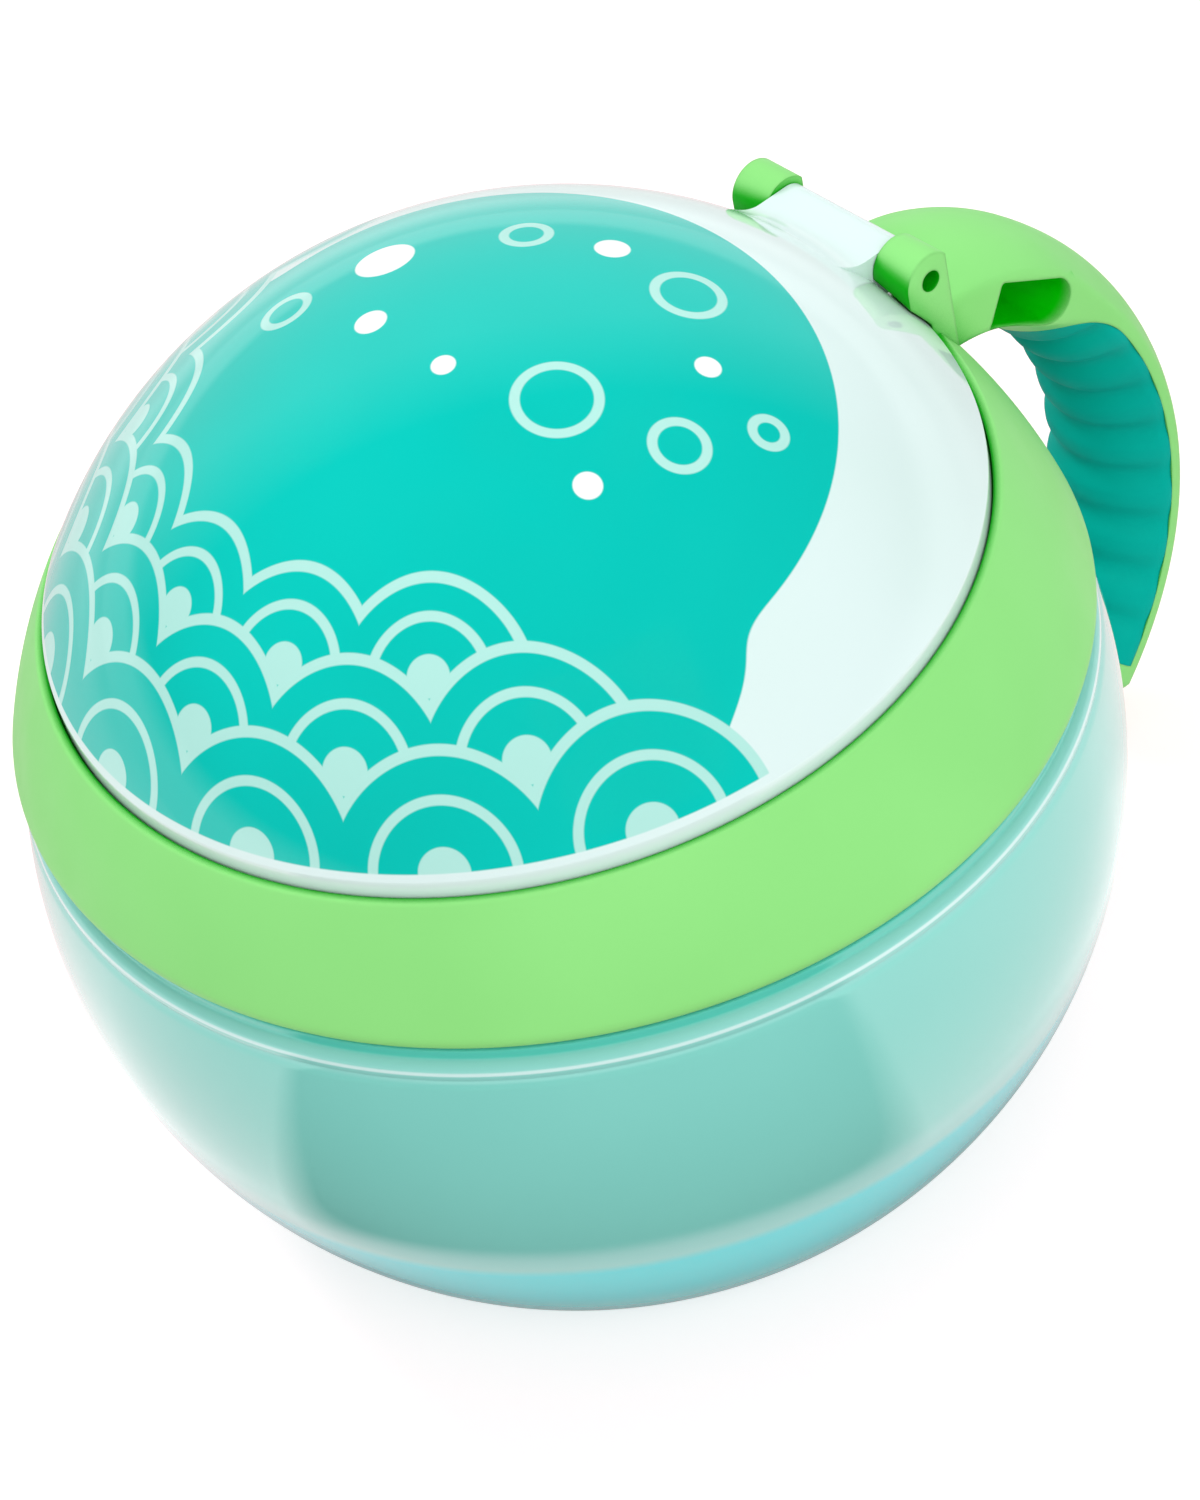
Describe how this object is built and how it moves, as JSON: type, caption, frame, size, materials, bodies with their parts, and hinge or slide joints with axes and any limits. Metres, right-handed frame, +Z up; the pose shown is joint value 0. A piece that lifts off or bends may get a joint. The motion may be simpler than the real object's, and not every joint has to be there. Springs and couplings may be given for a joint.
{
  "type": "toddler snack container",
  "caption": "Ball-shaped snack container with a screw collar and open handle, a domed flip lid and soft flaps across its mouth.",
  "frame": {"origin": "centre of the bowl's flat resting face", "axes": "+Z up out of the bowl, +Y towards the hinge and the handle, X along the lid's hinge pin"},
  "size_m": [0.1018, 0.1253, 0.0924],
  "materials": {
    "bowl_mint": "glossy, translucent",
    "lime": "satin",
    "grip_teal": "soft matte",
    "lid_mint": "glossy",
    "pin_steel": "plain",
    "seal_white": "soft matte",
    "flap_soft": "soft matte"
  },
  "bodies": {
    "bowl": {"bowl": "bowl_mint"},
    "gasket": {"gasket": "seal_white"},
    "collar": {"collar": "lime", "handle_grip": "grip_teal", "hinge_pin": "pin_steel", "flap_ring": "flap_soft"},
    "lid": {"lid": "lid_mint"},
    "flap_1": {"flap_1": "flap_soft"},
    "flap_2": {"flap_2": "flap_soft"},
    "flap_3": {"flap_3": "flap_soft"},
    "flap_4": {"flap_4": "flap_soft"},
    "flap_5": {"flap_5": "flap_soft"},
    "flap_6": {"flap_6": "flap_soft"}
  },
  "joints": [
    {"name": "collar_lift", "type": "slide", "parent": "bowl", "child": "gasket", "axis": [0, 0, 1], "range_m": [0, 0.003]},
    {"name": "collar_twist", "type": "hinge", "parent": "gasket", "child": "collar", "pos_m": [0, 0, 0.0546], "axis": [0, 0, 1], "range_deg": [0, 60]},
    {"name": "lid_hinge", "type": "hinge", "parent": "collar", "child": "lid", "pos_m": [0, 0.0408, 0.0742], "axis": [-1, 0, 0], "range_deg": [0, 165]},
    {"name": "flap_1_swing", "type": "hinge", "parent": "collar", "child": "flap_1", "pos_m": [0.02859, -0.00102, 0.06158], "axis": [0, 0.999, 0.0436], "range_deg": [-75, 45], "stiffness_Nm_per_rad": 0.006},
    {"name": "flap_2_swing", "type": "hinge", "parent": "collar", "child": "flap_2", "pos_m": [0.0143, 0.02372, 0.06266], "axis": [-0.866, 0.4995, 0.0218], "range_deg": [-75, 45], "stiffness_Nm_per_rad": 0.006},
    {"name": "flap_3_swing", "type": "hinge", "parent": "collar", "child": "flap_3", "pos_m": [-0.0143, 0.02372, 0.06266], "axis": [-0.866, -0.4995, -0.0218], "range_deg": [-75, 45], "stiffness_Nm_per_rad": 0.006},
    {"name": "flap_4_swing", "type": "hinge", "parent": "collar", "child": "flap_4", "pos_m": [-0.02859, -0.00102, 0.06158], "axis": [0, -0.999, -0.0436], "range_deg": [-75, 45], "stiffness_Nm_per_rad": 0.006},
    {"name": "flap_5_swing", "type": "hinge", "parent": "collar", "child": "flap_5", "pos_m": [-0.0143, -0.02576, 0.0605], "axis": [0.866, -0.4995, -0.0218], "range_deg": [-75, 45], "stiffness_Nm_per_rad": 0.006},
    {"name": "flap_6_swing", "type": "hinge", "parent": "collar", "child": "flap_6", "pos_m": [0.0143, -0.02576, 0.0605], "axis": [0.866, 0.4995, 0.0218], "range_deg": [-75, 45], "stiffness_Nm_per_rad": 0.006}
  ],
  "couplings": [
    {"joint": "collar_lift", "follows": "collar_twist", "m_per_rad": 0.002864}
  ]
}
